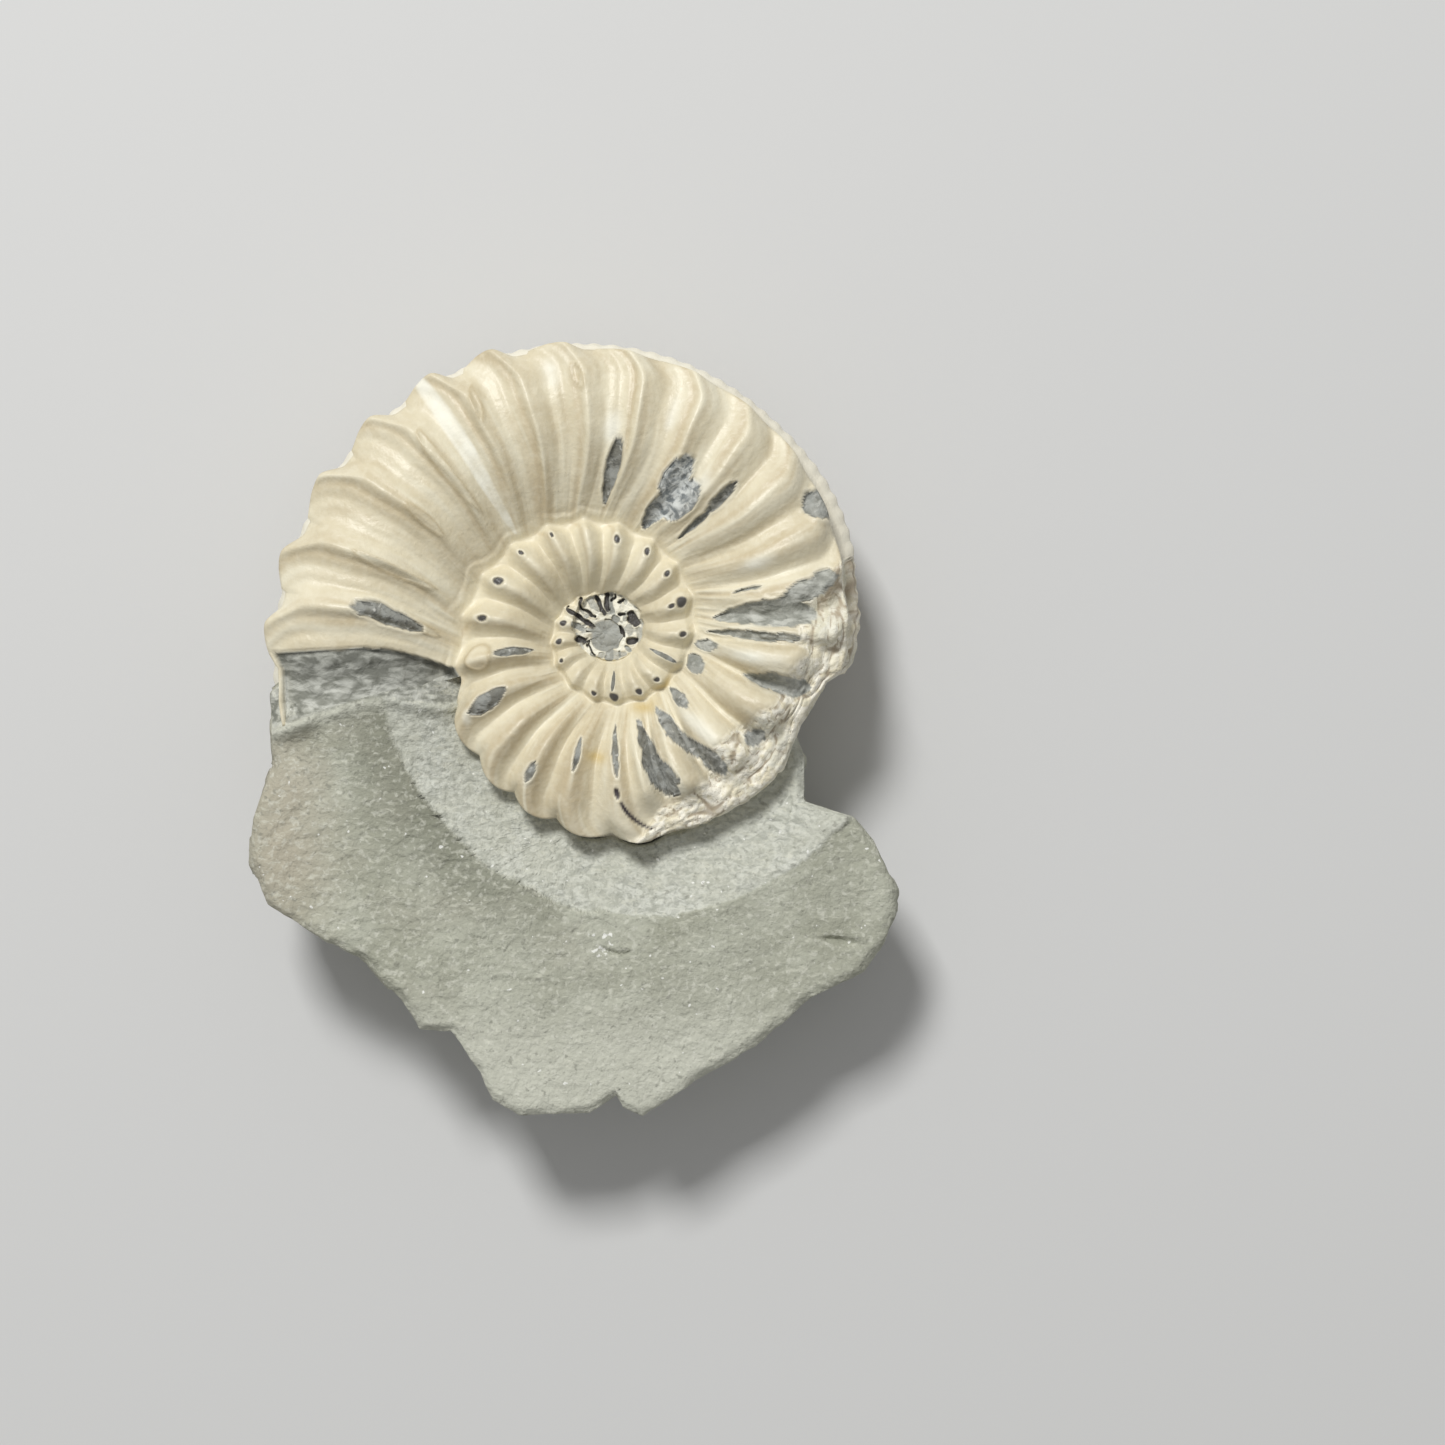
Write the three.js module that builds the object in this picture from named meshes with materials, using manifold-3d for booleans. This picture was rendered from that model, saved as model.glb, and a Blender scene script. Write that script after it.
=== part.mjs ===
// A ribbed ammonite lying in its piece of grey host rock. Millimetres: X runs across the slab, Y up it
// and Z out of its face, and the origin is the middle of the bounding box on the broken base.
import * as THREE from 'three';
import Module from 'manifold-3d';

const wasm = await Module();
wasm.setup();

const TURN = 2 * Math.PI;
const radians = THREE.MathUtils.degToRad;

// The coil: its axis, how fast it grows, and the section of a whorl.
const coilAxis = new THREE.Vector3(1.8, 5.5, 7.5);
const mouthAngle = radians(196);
const shellEdgeAngle = radians(184);
const turnsKept = 2.5;
const shoulderAtZero = 14.65;
const growthPerRadian = 0.156;
const lateSlowing = 0.07;
const slowingStart = -0.3;
const slowingSpread = 0.5;
const coveredShare = 0.94;
const widthToHeight = 0.44;
const innerWidthToHeight = 0.62;
const plumpFrom = radians(-90);
const plumpTo = radians(-420);
const shoulderHeight = 0.78;
const flankRoundTo = 0.5;
const seamSink = 0.25;
const seamSinkFrom = 0.65;
const shellThickness = 0.35;
const hubHeight = 0.3;

// Ribs, spines and keel.
const ribsBeforeZero = -12.68;
const ribsPerRadian = 3.817;
const ribCrowding = 0.1166;
const ribLateCrowding = 0.00385;
const ribHeightShare = 0.1;
const spineReachShare = 0.075;
const crestBend = radians(10);
const bendStart = 0.45;
const keelRise = 0.55;
const venterGrooveRise = 0.2;

// The host rock: the natural face, the bed cut around the coil, the base and the coil's hollow.
const rockMiddle = new THREE.Vector2(0, -6);
const faceHeight = 10.1;
const faceFallToRight = 0.035;
const faceEdgeRounding = 0.9;
const faceSpread = 0.97;
const sideSteps = [[1, 0.78], [0.97, 0.35], [0.86, 0]];
const bedCentre = new THREE.Vector2(4.0, 4.4);
const bedRadius = 15.3;
const bedHeight = 8.5;
const bedRimRise = 0.9;
const bedFlatRadius = 11.5;
const gap = 0.3;
const innerGapFactor = 4;
const hollowTop = 6;
const mouthSwellPerMillimetre = 0.1;
const rockOutline = [
  [-17.9, 2.2], [-17.8, 0.6], [-17.7, -1.8], [-18.9, -5.2], [-19.0, -7.8], [-18.0, -10.3],
  [-14.4, -12.4], [-12.6, -13.3], [-10.3, -15.7], [-9.1, -17.6], [-7.2, -17.7], [-5.5, -20.2],
  [-4.8, -21.8], [-3.3, -22.7], [0.9, -22.6], [2.5, -21.6], [2.9, -22.3], [4.0, -22.8],
  [6.6, -21.1], [10.7, -18.6], [14.1, -15.8], [17.0, -14.3], [18.2, -12.7], [19.0, -10.9],
  [19.0, -9.4], [17.7, -6.5], [16.5, -5.1], [13.6, -4.2], [13.6, -1.7], [12.2, 2.5],
  [9.0, 7.0], [2.0, 10.0], [-6.0, 9.5], [-12.5, 6.5],
];

// Mesh steps along the coil, across a flank, over the outer edge, and in from the rock's outline.
const rowsPerTurn = 120;
const flankSteps = [0, 0.12, 0.4, 0.78, 1];
const venterSteps = 4;
const rockRings = 5;
const bedSides = 72;

// Radius of a whorl's outer shoulder: an even spiral that grows more slowly over its last half turn.
function shoulderRadius(angle) {
  const late = Math.log(1 + Math.exp((angle - slowingStart) / slowingSpread));
  return shoulderAtZero * Math.exp(growthPerRadian * angle - lateSlowing * slowingSpread * late);
}

// Radius of the seam where a whorl rests on the turn before it.
function seamRadius(angle) {
  return coveredShare * shoulderRadius(angle - TURN);
}

// Half the thickness of a whorl: the inner turns are plumper for their height than the last one.
function halfWidth(angle) {
  const share = THREE.MathUtils.smoothstep(-angle, -plumpFrom, -plumpTo);
  const widthShare = THREE.MathUtils.lerp(widthToHeight, innerWidthToHeight, share);
  return widthShare * (shoulderRadius(angle) - seamRadius(angle));
}

// Past the shell's edge the stone filling lies bare, lower than the shell by its thickness.
function bareDrop(angle) {
  return angle > shellEdgeAngle ? shellThickness : 0;
}

// Ribs counted along the coil, a whole number at each crest. They stand closer near the mouth.
function ribCount(angle) {
  return ribsBeforeZero + ribsPerRadian * angle + ribCrowding * angle ** 2 + ribLateCrowding * angle ** 3;
}

// How far up a rib a point lies, from 0 in a groove to 1 on a crest. A crest runs straight across the
// flank and bends forward near the seam. A hollow clears every crest, and the bare filling is smooth.
function ribRise(angle, inward, swell) {
  if (swell > 0) return 1;
  if (bareDrop(angle) > 0) return 0;
  const bend = crestBend * Math.max(0, (inward - bendStart) / (1 - bendStart)) ** 2;
  return 0.5 + 0.5 * Math.cos(TURN * ribCount(angle - bend));
}

// Height of the flank over the coil's middle plane, as a share of the whorl's half width.
function flankShape(inward) {
  const rounding = Math.sin(Math.min(1, inward / flankRoundTo) * Math.PI / 2);
  const sink = seamSink * Math.max(0, (inward - seamSinkFrom) / (1 - seamSinkFrom)) ** 2;
  return shoulderHeight + (1 - shoulderHeight) * rounding - sink;
}

function polar(angle, radius, height) {
  return new THREE.Vector3(radius * Math.cos(angle), radius * Math.sin(angle), height);
}

// A surface made of shared vertices, to which four-sided patches and fans are added.
class Skin {
  constructor() {
    this.points = [];
    this.faces = [];
  }

  add(point) {
    this.points.push(point.x, point.y, point.z);
    return this.points.length / 3 - 1;
  }

  quad(a, b, c, d) {
    this.faces.push(a, b, c, a, c, d);
  }

  // Four-sided faces over a grid of vertex numbers, turned over where flip says so.
  patch(grid, flip = false) {
    for (let i = 0; i + 1 < grid.length; i += 1) {
      for (let j = 0; j + 1 < grid[i].length; j += 1) {
        const corners = [grid[i][j], grid[i + 1][j], grid[i + 1][j + 1], grid[i][j + 1]];
        this.quad(...(flip ? corners.reverse() : corners));
      }
    }
  }

  fan(hub, loop, flip = false) {
    for (let i = 0; i < loop.length; i += 1) {
      const next = loop[(i + 1) % loop.length];
      this.faces.push(hub, ...(flip ? [next, loop[i]] : [loop[i], next]));
    }
  }

  geometry() {
    const geometry = new THREE.BufferGeometry();
    geometry.setAttribute('position', new THREE.Float32BufferAttribute(this.points, 3));
    geometry.setIndex(this.faces);
    return geometry;
  }
}

// A point on a flank. Swell grows the whole coil, to give the hollow that it leaves in the rock.
function flankPoint(angle, inward, covered, swell) {
  const shoulder = shoulderRadius(angle);
  const seam = seamRadius(angle);
  const depth = shoulder - seam;
  const drop = bareDrop(angle);
  const rise = ribRise(angle, inward, swell);
  const outer = covered ? coveredShare * shoulder : shoulder - drop;
  const spine = covered ? 0 : spineReachShare * depth * rise ** 3 * Math.max(0, 1 - inward / 0.2);
  const radius = outer - (outer - seam) * inward + spine + swell * (1 - inward);
  const lift = ribHeightShare * depth * (1 - 0.8 * inward ** 3) * (rise - 0.5);
  const slack = covered ? innerGapFactor * swell : swell;
  return polar(angle, radius, halfWidth(angle) * flankShape(inward) - drop + lift + slack);
}

// Rows of vertex numbers across one flank. A seam vertex is the shoulder vertex one turn further in.
// The hollow is open upwards, so that the near flank can lie in it.
function flankRows(skin, angles, side, swell) {
  const last = flankSteps.length - 1;
  const firstOpenRow = angles.length - rowsPerTurn - (swell > 0 ? 1 : 0);
  const rows = [];
  angles.forEach((angle, i) => {
    const covered = i < firstOpenRow;
    rows.push(flankSteps.map((inward, j) => {
      if (j === last && i >= rowsPerTurn) return rows[i - rowsPerTurn][0];
      const point = flankPoint(angle, inward, covered, swell);
      const open = swell > 0 && side > 0 && (covered || inward > 0);
      return skin.add(point.setZ(open ? hollowTop : side * point.z));
    }));
  });
  return rows;
}

// Closes the middle of a flank with a fan around the first whorl.
function closeMiddle(skin, rows, side, swell) {
  const last = flankSteps.length - 1;
  const loop = rows.slice(0, rowsPerTurn).map((row) => row[last]);
  const start = rows[0].slice(0, last);
  const open = swell > 0 && side > 0;
  const hub = skin.add(new THREE.Vector3(0, 0, open ? hollowTop : side * (hubHeight + swell)));
  skin.fan(hub, [...loop, ...start], side < 0);
}

// The outer edge between the two flanks of the last turn: a keel between two shallow grooves.
function venterRows(skin, angles, near, far, swell) {
  const first = angles.length - rowsPerTurn - 1;
  return angles.slice(first).map((angle, i) => {
    const covered = i === 0 && swell === 0;
    const base = (covered ? coveredShare : 1) * shoulderRadius(angle) + swell - bareDrop(angle);
    const row = [near[first + i][0]];
    for (let k = 1; k < venterSteps; k += 1) {
      const across = 1 - 2 * k / venterSteps;
      const rise = across === 0 ? keelRise : venterGrooveRise;
      row.push(skin.add(polar(angle, base + rise, across * shoulderHeight * halfWidth(angle))));
    }
    return [...row, far[first + i][0]];
  });
}

// The broken end of the last whorl, a patch between the two flanks and the outer edges of two turns.
function endRows(skin, near, far, venter) {
  const outer = venter[venter.length - 1];
  const inner = venter[0];
  const at = (number) => new THREE.Vector3().fromArray(skin.points, 3 * number);
  return near[near.length - 1].map((nearNumber, j) => {
    const farNumber = far[far.length - 1][j];
    if (j === 0) return outer;
    if (j === flankSteps.length - 1) return inner;
    const row = outer.slice(1, -1).map((number, k) => {
      const across = (k + 1) / venterSteps;
      const between = at(number).lerp(at(inner[k + 1]), flankSteps[j]);
      return skin.add(between.setZ(THREE.MathUtils.lerp(at(nearNumber).z, at(farNumber).z, across)));
    });
    return [nearNumber, ...row, farNumber];
  });
}

// The whole coil around its own axis: both flanks, the outer edge, the broken end and the middle.
function coilGeometry(swell) {
  const skin = new Skin();
  const count = Math.round(turnsKept * rowsPerTurn) + 1;
  const end = mouthAngle + swell * mouthSwellPerMillimetre;
  const angles = Array.from({ length: count }, (_, i) => end - (count - 1 - i) * TURN / rowsPerTurn);
  const near = flankRows(skin, angles, 1, swell);
  const far = flankRows(skin, angles, -1, swell);
  const venter = venterRows(skin, angles, near, far, swell);
  skin.patch(near);
  skin.patch(far, true);
  skin.patch(venter, true);
  skin.patch(endRows(skin, near, far, venter), true);
  closeMiddle(skin, near, 1, swell);
  closeMiddle(skin, far, -1, swell);
  return skin.geometry().translate(coilAxis.x, coilAxis.y, coilAxis.z);
}

// Height of the rock's natural face: a gentle fall to the right and a rounded edge.
function faceLevel(x, outward) {
  return faceHeight - faceFallToRight * x - faceEdgeRounding * outward ** 6;
}

// A closed block from level loops, given from the top down, with a fan over the first and the last.
function stackedGeometry(skin, loops, top, bottom) {
  skin.patch(loops.map((numbers) => [...numbers, numbers[0]]));
  skin.fan(skin.add(top), loops[0]);
  skin.fan(skin.add(bottom), loops[loops.length - 1], true);
  return skin.geometry();
}

// The block before the coil's hollow is cut: a rounded face, sides that draw in, and a flat base. Each
// step of the sides is a scale of the outline and a share of the face's height.
function blockGeometry() {
  const skin = new Skin();
  const loop = (scale, level) => rockOutline.map(([x, y]) => {
    const at = new THREE.Vector2(x, y).sub(rockMiddle).multiplyScalar(scale).add(rockMiddle);
    return skin.add(new THREE.Vector3(at.x, at.y, level(at.x)));
  });
  const loops = [];
  for (let k = 1; k <= rockRings; k += 1) {
    const outward = k / rockRings;
    loops.push(loop(outward * faceSpread, (x) => faceLevel(x, outward)));
  }
  for (const [scale, share] of sideSteps) {
    loops.push(loop(scale, (x) => share * faceLevel(x, 1)));
  }
  const top = new THREE.Vector3(rockMiddle.x, rockMiddle.y, faceLevel(rockMiddle.x, 0));
  return stackedGeometry(skin, loops, top, new THREE.Vector3(rockMiddle.x, rockMiddle.y, 0));
}

// The round bed cut down around the coil: a shallow bowl with a steep rim.
function bedGeometry() {
  const skin = new Skin();
  const tall = faceHeight + 5;
  const profile = [
    [bedRadius + 0.6, tall], [bedRadius, faceHeight], [bedRadius - 0.4, bedHeight + bedRimRise],
    [bedFlatRadius, bedHeight + 0.1],
  ];
  const loops = profile.map(([radius, height]) => (
    Array.from({ length: bedSides }, (_, i) => skin.add(polar(i * TURN / bedSides, radius, height)))
  ));
  const hub = (height) => new THREE.Vector3(0, 0, height);
  return stackedGeometry(skin, loops, hub(tall), hub(bedHeight)).translate(bedCentre.x, bedCentre.y, 0);
}

function solidFrom(geometry) {
  const vertProperties = new Float32Array(geometry.attributes.position.array);
  const triVerts = new Uint32Array(geometry.index.array);
  return new wasm.Manifold(new wasm.Mesh({ numProp: 3, vertProperties, triVerts }));
}

function geometryFrom(solid) {
  const { vertProperties, triVerts } = solid.getMesh();
  const geometry = new THREE.BufferGeometry();
  geometry.setAttribute('position', new THREE.BufferAttribute(vertProperties, 3));
  geometry.setIndex(new THREE.BufferAttribute(triVerts, 1));
  return geometry;
}

function piece(name, geometry, color, roughness) {
  geometry.computeVertexNormals();
  const mesh = new THREE.Mesh(geometry, new THREE.MeshStandardMaterial({ color, roughness, metalness: 0 }));
  mesh.name = name;
  return mesh;
}

const rock = solidFrom(blockGeometry())
  .subtract(solidFrom(bedGeometry()))
  .subtract(solidFrom(coilGeometry(gap)));

const fossil = new THREE.Group();
fossil.add(piece('ammonite', coilGeometry(0), 0xd6caa8, 0.45));
fossil.add(piece('matrix_stone', geometryFrom(rock), 0x95978a, 0.9));

const box = new THREE.Box3().setFromObject(fossil, true);
const middle = box.getCenter(new THREE.Vector3());
fossil.position.set(-middle.x, -middle.y, -box.min.z);

export default fossil;
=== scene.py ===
import bpy
import numpy as np
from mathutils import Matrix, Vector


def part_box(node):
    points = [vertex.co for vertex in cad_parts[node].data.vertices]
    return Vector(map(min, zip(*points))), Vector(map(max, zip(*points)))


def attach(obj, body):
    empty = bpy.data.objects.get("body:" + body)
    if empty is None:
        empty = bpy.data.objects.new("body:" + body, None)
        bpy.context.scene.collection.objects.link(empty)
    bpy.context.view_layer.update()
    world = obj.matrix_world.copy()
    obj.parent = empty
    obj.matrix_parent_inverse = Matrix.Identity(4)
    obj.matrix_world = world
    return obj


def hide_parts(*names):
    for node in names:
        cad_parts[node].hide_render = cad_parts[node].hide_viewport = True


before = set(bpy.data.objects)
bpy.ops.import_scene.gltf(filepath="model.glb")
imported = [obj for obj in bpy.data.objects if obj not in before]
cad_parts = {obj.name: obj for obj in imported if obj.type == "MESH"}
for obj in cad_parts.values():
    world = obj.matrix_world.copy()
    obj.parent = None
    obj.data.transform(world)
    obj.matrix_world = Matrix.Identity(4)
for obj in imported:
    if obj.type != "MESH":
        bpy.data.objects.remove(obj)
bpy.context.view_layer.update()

# Lengths are in millimetres until a mesh is made, and angles along the coil are in degrees. The coil's
# angle grows towards its mouth, and "across" runs over a flank from 0 at the shoulder to 1 at the seam.
MM = 0.001
TURN = 360.0

# The coil.
MOUTH = 196.0
SHELL_EDGE = 183.3
TURNS_KEPT = 3
SHOULDER_AT_ZERO = 14.65
GROWTH, LATE_SLOWING, SLOWING_START, SLOWING_SPREAD = 0.156, 0.07, -0.3, 0.5
COVERED_SHARE = 0.94
WIDTH_TO_HEIGHT, INNER_WIDTH_TO_HEIGHT = 0.44, 0.62
SHOULDER_LEVEL = 0.76
KEEL_RISE = 0.55
HUB_RADIUS, HUB_HEIGHT = 0.18, 0.42
ROWS_PER_TURN = 720
FLANK_COLUMNS = 56
VENTER_COLUMNS = 24
FAR_COLUMNS = 16

# Where the ribs' crests cross the middle of the flank, from the mouth inwards.
RIB_CRESTS = [
    203, 189, 174.5, 162, 147, 133.5, 120, 108, 94, 81, 67, 54, 40, 25.5, 12.5, 0, -17, -34, -53, -69, -85,
    -103, -118, -133, -151, -169, -188, -206.5, -224.5, -242.5, -260, -277.5, -297.5, -316, -337, -360,
    -381, -401, -419.5, -442, -461, -485, -510, -532, -556, -575, -594, -616, -634, -655, -677, -700, -725,
]

# The host rock, and the coil's axis measured from its lower left corner.
AXIS_FROM_CORNER = (20.8, 28.3)
ROCK_OUTLINE = [
    (-17.9, 2.2), (-17.8, 0.6), (-17.7, -1.8), (-18.9, -5.2), (-19.0, -7.8), (-18.0, -10.3),
    (-14.4, -12.4), (-12.6, -13.3), (-10.3, -15.7), (-9.1, -17.6), (-7.2, -17.7), (-5.5, -20.2),
    (-4.8, -21.8), (-3.3, -22.7), (0.9, -22.6), (2.5, -21.6), (2.9, -22.3), (4.0, -22.8),
    (6.6, -21.1), (10.7, -18.6), (14.1, -15.8), (17.0, -14.3), (18.2, -12.7), (19.0, -10.9),
    (19.0, -9.4), (17.7, -6.5), (16.5, -5.1), (13.6, -4.2), (13.6, -1.7), (12.2, 2.5),
    (9.0, 7.0), (2.0, 10.0), (-6.0, 9.5), (-12.5, 6.5),
]
ROCK_MIDDLE = (0.0, -6.0)
FACE_HEIGHT = 10.1
FACE_FALL = 0.035
BED_CENTRE, BED_RADIUS, BED_HEIGHT, BED_RIM_RISE = (4.0, 4.4), 15.3, 8.6, 1.1
UNDER_COIL_HEIGHT = 6.3
PIT_CENTRE = (15.6, -12.4)
GLINT_CENTRE = (1.5, -12.5)
ROCK_COLUMNS, FACE_RINGS, SIDE_RINGS = 680, 100, 34


# ---- helpers: noise, masks, meshes

def lattice_noise(points, size, seed=0):
    """Smooth values from -1 to 1 that change over the given size, mixed from a cubic lattice."""
    scaled = np.asarray(points, float) / size
    cell = np.floor(scaled).astype(np.int64)
    part = scaled - cell
    part = part * part * (3 - 2 * part)
    total = np.zeros(len(scaled))
    for corner in np.ndindex(2, 2, 2):
        at = cell + corner
        mixed = at[:, 0] * 73856093 ^ at[:, 1] * 19349663 ^ at[:, 2] * 83492791 ^ (seed + 1) * 39916801
        mixed = (mixed ^ mixed >> 15) * 2246822519 & 0xFFFFFFFF
        mixed = (mixed ^ mixed >> 13) * 3266489917 & 0xFFFFFFFF
        weight = np.prod(np.where(corner, part, 1 - part), axis=1)
        total += weight * ((mixed ^ mixed >> 16) % 65536 / 32767.5 - 1)
    return total


def rough_noise(points, size, seed=0, octaves=4):
    """Noise with finer and fainter copies of itself added."""
    turned = np.array([[0.8, 0.6, 0.0], [-0.48, 0.64, 0.6], [0.36, -0.48, 0.8]])
    total = np.zeros(len(points))
    for k in range(octaves):
        total += lattice_noise(points, size / 2 ** k, seed + k) / 2 ** k
        points = points @ turned
    return total / 1.6


def chips(u, v, size, seed=0):
    """Tilted facets of random height, -1 to 1, like broken flakes, laid out over two coordinates."""
    u, v = u / size, v / size
    best, value = np.full(len(u), 9.0), np.zeros(len(u))
    for i in (-1, 0, 1):
        for j in (-1, 0, 1):
            cell = np.stack([np.floor(u) + i, np.floor(v) + j, np.full(len(u), seed)], axis=1)
            jitter = [lattice_noise(cell + 0.001, 1.0, seed + k) for k in range(4)]
            du = cell[:, 0] + 0.5 + 0.45 * jitter[0] - u
            dv = cell[:, 1] + 0.5 + 0.45 * jitter[1] - v
            away = du * du + dv * dv
            facet = 0.7 * jitter[2] + 0.9 * (du * jitter[3] + dv * 0.6)
            value = np.where(away < best, facet, value)
            best = np.minimum(best, away)
    return value


def ramp(value, low, high):
    """A smooth step from 0 at low to 1 at high."""
    t = np.clip((value - low) / (high - low), 0, 1)
    return t * t * (3 - 2 * t)


def hill(value, middle, width):
    return np.exp(-((value - middle) / width) ** 2)


def mesh_object(name, points, faces, values):
    """A smooth-shaded object from points in millimetres, with one number a point under each name."""
    mesh = bpy.data.meshes.new(name)
    corners = np.asarray(faces, np.int32)
    mesh.vertices.add(len(points))
    mesh.vertices.foreach_set("co", (np.asarray(points) * MM).astype(np.float32).ravel())
    mesh.loops.add(corners.size)
    mesh.loops.foreach_set("vertex_index", corners.ravel())
    mesh.polygons.add(len(corners))
    mesh.polygons.foreach_set("loop_start", np.arange(0, corners.size, corners.shape[1], dtype=np.int32))
    mesh.polygons.foreach_set("use_smooth", np.ones(len(corners), bool))
    for key, numbers in values.items():
        layer = mesh.attributes.new(key, "FLOAT", "POINT")
        layer.data.foreach_set("value", np.asarray(numbers, np.float32))
    mesh.update(calc_edges=True)
    mesh.validate()
    piece = bpy.data.objects.new(name, mesh)
    bpy.context.collection.objects.link(piece)
    return piece


def patch_faces(grid, flip=False):
    """Two triangles for each four neighbours in a grid of point numbers."""
    a, b, c, d = grid[:-1, :-1], grid[1:, :-1], grid[1:, 1:], grid[:-1, 1:]
    if flip:
        b, d = d, b
    first = np.stack([a, b, c], axis=-1).reshape(-1, 3)
    second = np.stack([a, c, d], axis=-1).reshape(-1, 3)
    return np.concatenate([first, second])


def fan_faces(hub, loop, flip=False):
    following = np.roll(loop, -1)
    ends = (following, loop) if flip else (loop, following)
    return np.stack([np.full(len(loop), hub), *ends], axis=-1)


# ---- the coil's form

def shoulder_radius(angle):
    turned = np.radians(angle)
    late = np.log1p(np.exp((turned - SLOWING_START) / SLOWING_SPREAD))
    return SHOULDER_AT_ZERO * np.exp(GROWTH * turned - LATE_SLOWING * SLOWING_SPREAD * late)


def rib_count(angle):
    """A count along the coil that is a whole number at each rib's crest."""
    crests = np.array(RIB_CRESTS[::-1], float)
    return np.interp(angle, crests, np.arange(len(crests), dtype=float))


def crest_bend(across):
    """How many degrees a rib's crest runs forward, near the seam and at the shoulder."""
    return 10 * np.maximum(0, (across - 0.45) / 0.55) ** 2 + 4 * np.maximum(0, 1 - across / 0.16) ** 2


def rib_phase(angle, across):
    """The place between two ribs, from 0 at one crest to 1 at the next towards the mouth."""
    return rib_count(angle - crest_bend(across)) % 1


def wave(phase, middle, width):
    """A bump that repeats with every rib."""
    return np.exp((np.cos(2 * np.pi * (phase - middle)) - 1) / width ** 2)


def covered_radius(angle):
    """Where the next turn laps over a whorl: a scalloped line around the feet of its spines."""
    return shoulder_radius(angle) * (0.918 + 0.042 * wave(rib_count(angle) % 1, 0.03, 1.0))


def whorl_height(angle):
    return shoulder_radius(angle) - COVERED_SHARE * shoulder_radius(angle - TURN)


def half_width(angle):
    plump = ramp(-angle, 90, 420)
    return (WIDTH_TO_HEIGHT + (INNER_WIDTH_TO_HEIGHT - WIDTH_TO_HEIGHT) * plump) * whorl_height(angle)


def covered_height(angle):
    return half_width(angle) * (0.80 + 0.12 * wave(rib_count(angle) % 1, 0.03, 0.9))


def flank_rise(across):
    """The flank's height over the middle plane, as a share of the whorl's half width."""
    return SHOULDER_LEVEL + (1 - SHOULDER_LEVEL) * np.sin(np.clip(across / 0.36, 0, 1) * np.pi / 2) ** 0.8


def broken_zone(angle):
    """1 where the shell over the ribs has crumbled away and only the fingers between them stand."""
    return ramp(angle, -82, -74) * ramp(-angle, 1, 5)


def rib_relief(angle, across):
    """Height of the ribs as a share of the whorl's height."""
    phase = rib_phase(angle, across)
    away = 2 * np.minimum(phase, 1 - phase)
    soft = 0.5 + 0.5 * np.cos(np.pi * away)
    early = 0.8 * soft + 0.2 * (1 - away ** 2.2) ** 0.85
    crested = 0.64 * soft ** 0.9 + 0.12 * hill(away, 0, 0.13) + 0.20 * wave(phase, 0.50, 0.5)
    crested -= 0.12 * wave(phase, 0.15, 0.28)
    finger = (1 - np.clip(1.12 * (1 - away), 0, 1) ** 2.0) * ramp(across, 0.1, 0.34)
    late, broken = ramp(angle, 45, 85), broken_zone(angle)
    shape = early * (1 - late) + crested * late
    shape = shape * (1 - broken) + 1.3 * finger * broken
    low = 1 - 0.3 * ramp(angle, 2, 12) * ramp(-angle, -80, -50)
    fade = (1 - 0.55 * ramp(across, 0.74, 1.0)) * (0.8 + 0.2 * ramp(across, 0, 0.1))
    size = 0.115 + 0.055 * ramp(-angle, 60, 220)
    return size * shape * fade * low * ramp(-angle, -(SHELL_EDGE + 6), -SHELL_EDGE)


def free_edge(angle):
    """0 where the next turn laps over the outer edge, and 1 where the edge stands free."""
    return ramp(angle, MOUTH - TURN, MOUTH - TURN + 14)


def spine_push(angle, across):
    """How far a spine stands out at the shoulder, as a share of the whorl's height: blunt and leaning."""
    phase = rib_phase(angle, np.zeros_like(across))
    lean = np.where(phase > 0.5, (phase - 1) * 2.4, phase)
    blunt = ramp(1 - np.abs(lean) / 0.75, 0, 0.95)
    young = ramp(-angle, 66, 82)
    size = 0.012 + 0.068 * ramp(angle, 80, 120) * ramp(-angle, -(SHELL_EDGE + 4), -SHELL_EDGE)
    notch = 2 * np.abs((phase + 0.4) % 1 - 0.5)
    lobe = 0.075 * (1 - notch ** 2.2)
    reach = size * blunt * (1 - young) + lobe * young
    return reach * np.maximum(0, 1 - across / 0.2) ** 1.3 * free_edge(angle)


def flank_points(angle, across):
    """Radius and height of points on the near flank, before wear."""
    free, tall = free_edge(angle), whorl_height(angle)
    outer = covered_radius(angle) + (shoulder_radius(angle) - covered_radius(angle)) * free
    outer = outer - edge_loss(angle) * (1 - ramp(across, 0, 0.3))
    seam = covered_radius(angle - TURN)
    radius = outer - (outer - seam) * across + tall * spine_push(angle, across)
    height = half_width(angle) * flank_rise(across) + tall * rib_relief(angle, across)
    start = covered_height(angle) * (1 - free) + height * free
    height = start + (height - start) * ramp(across, 0, 0.16)
    wall = np.clip((across - 0.42) / 0.58, 0, 1) ** 1.7
    return radius, height + (covered_height(angle - TURN) - height) * wall


# ---- wear on the coil: worn windows, crumbled edge, stains

def leaf(angle, across, start, end, half_width_deg, bow=0.0, power=0.6):
    """How far inside a leaf-shaped patch a point lies, in degrees; negative outside."""
    along = np.clip((across - start[1]) / (end[1] - start[1]), 0, 1)
    beyond = np.maximum(0, np.maximum(start[1] - across, across - end[1])) * 60
    middle = start[0] + (end[0] - start[0]) * along + bow * 4 * along * (1 - along)
    return half_width_deg * (4 * along * (1 - along)) ** power - np.abs(angle - middle) - beyond


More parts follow.
